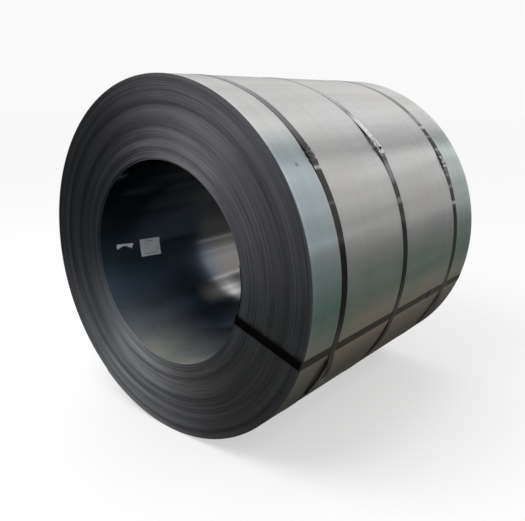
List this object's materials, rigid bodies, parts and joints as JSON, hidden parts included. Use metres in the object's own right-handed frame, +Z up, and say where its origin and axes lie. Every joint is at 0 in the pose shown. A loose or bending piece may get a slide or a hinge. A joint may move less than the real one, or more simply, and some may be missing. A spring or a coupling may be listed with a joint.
{
  "type": "steel coil",
  "caption": "Wound coil of hot-rolled steel strip lying on its side, held by flat steel straps round it and through its bore.",
  "frame": {"origin": "on the floor plane, midway along the coil, straight below its axis", "axes": "+Z up, +Y along the bore from the front end to the rear end, +X to the side where the strap through the bore runs back along the outside"},
  "size_m": [1.342, 1.2618, 1.3418],
  "materials": {
    "strip": "satin",
    "strap": "satin",
    "seal": "satin",
    "paper": "matte"
  },
  "bodies": {
    "root": {"coil": "strip", "hoop_strap_front": "strap", "hoop_strap_middle": "strap", "hoop_strap_rear": "strap", "hoop_seal_front": "seal", "hoop_seal_middle": "seal", "hoop_seal_rear": "seal", "eye_strap": "strap", "eye_seal": "seal", "bore_label": "paper", "label_scrap": "paper"}
  },
  "joints": []
}
